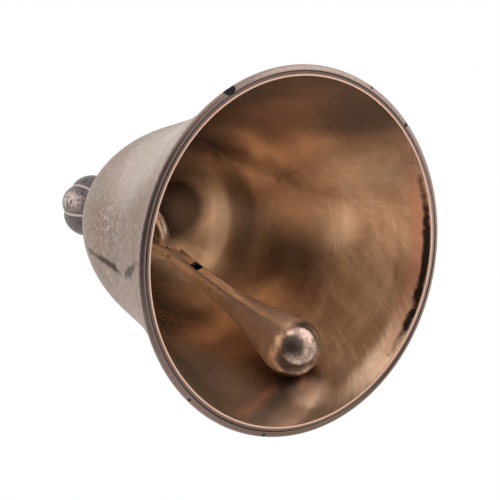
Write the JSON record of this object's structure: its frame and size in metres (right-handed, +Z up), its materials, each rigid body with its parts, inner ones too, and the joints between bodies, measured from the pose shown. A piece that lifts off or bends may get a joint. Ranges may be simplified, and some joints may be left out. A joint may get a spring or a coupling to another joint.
{
  "type": "ship bell",
  "caption": "Flared metal bell with a lobed crown knob and a hinged teardrop clapper hung from a forked yoke.",
  "frame": {"origin": "centre of the mouth, in the plane the lip stands on", "axes": "+Z up the axis of the bell towards the knob; +Y through the middle of one lobe of the knob; the clapper lies towards -X"},
  "size_m": [0.152, 0.152, 0.1656],
  "materials": {
    "bell_metal": "worn silver plate outside, bare copper alloy inside, satin",
    "knob_bronze": "near-black patina with worn spots, satin",
    "gear_bronze": "satin copper brown"
  },
  "bodies": {
    "bell": {"bell_body": "bell_metal", "crown_knob": "knob_bronze", "crown_collar": "knob_bronze", "yoke_washer": "gear_bronze", "yoke_bolt": "gear_bronze", "yoke_pin": "gear_bronze"},
    "hanger": {"hanger": "gear_bronze"},
    "clapper": {"clapper": "gear_bronze", "clapper_pin": "gear_bronze"}
  },
  "joints": [
    {"name": "hanger_swing", "type": "hinge", "parent": "bell", "child": "hanger", "pos_m": [0, 0, 0.1113], "axis": [0.3289, -0.9444, 0], "range_deg": [0, 33]},
    {"name": "clapper_swing", "type": "hinge", "parent": "hanger", "child": "clapper", "pos_m": [-0.01675, -0.00583, 0.08983], "axis": [0.3289, -0.9444, 0], "range_deg": [0, 30]}
  ]
}
